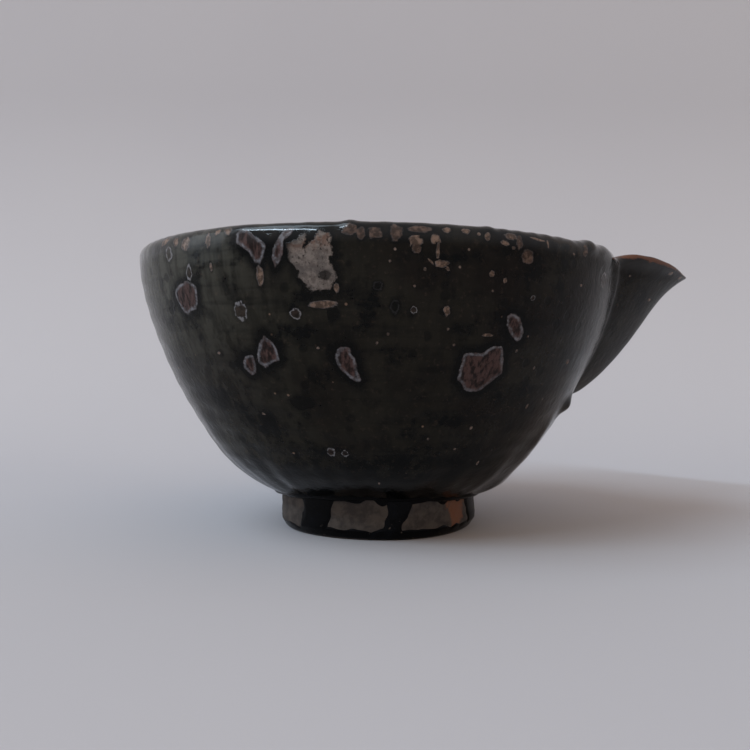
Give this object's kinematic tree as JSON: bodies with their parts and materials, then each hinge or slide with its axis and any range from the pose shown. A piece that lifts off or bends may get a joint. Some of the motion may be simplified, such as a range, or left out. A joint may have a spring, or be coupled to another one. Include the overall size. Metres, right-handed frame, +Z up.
{
  "type": "sake pourer",
  "caption": "Round stoneware pouring bowl with an open pointed spout on one side and a turned foot ring, under a dark speckled glaze.",
  "frame": {"origin": "centre of the foot ring's underside, on the bowl's axis", "axes": "+Z up along the bowl's axis, +X towards the spout's tip, +Y across; the part is the same on both sides of the XZ plane"},
  "size_m": [0.154, 0.1314, 0.0752],
  "materials": {
    "stoneware_clay": "matte fired stoneware, iron-brown",
    "dark_glaze": "glossy black-brown iron glaze with pale crystalline spots"
  },
  "bodies": {
    "root": {"bowl_body": "stoneware_clay", "foot": "stoneware_clay", "spout": "stoneware_clay", "spout_luting": "stoneware_clay", "outer_glaze": "dark_glaze", "inner_glaze": "dark_glaze", "spout_glaze": "dark_glaze", "glaze_roll": "dark_glaze", "foot_glaze_runs": "dark_glaze"}
  },
  "joints": []
}
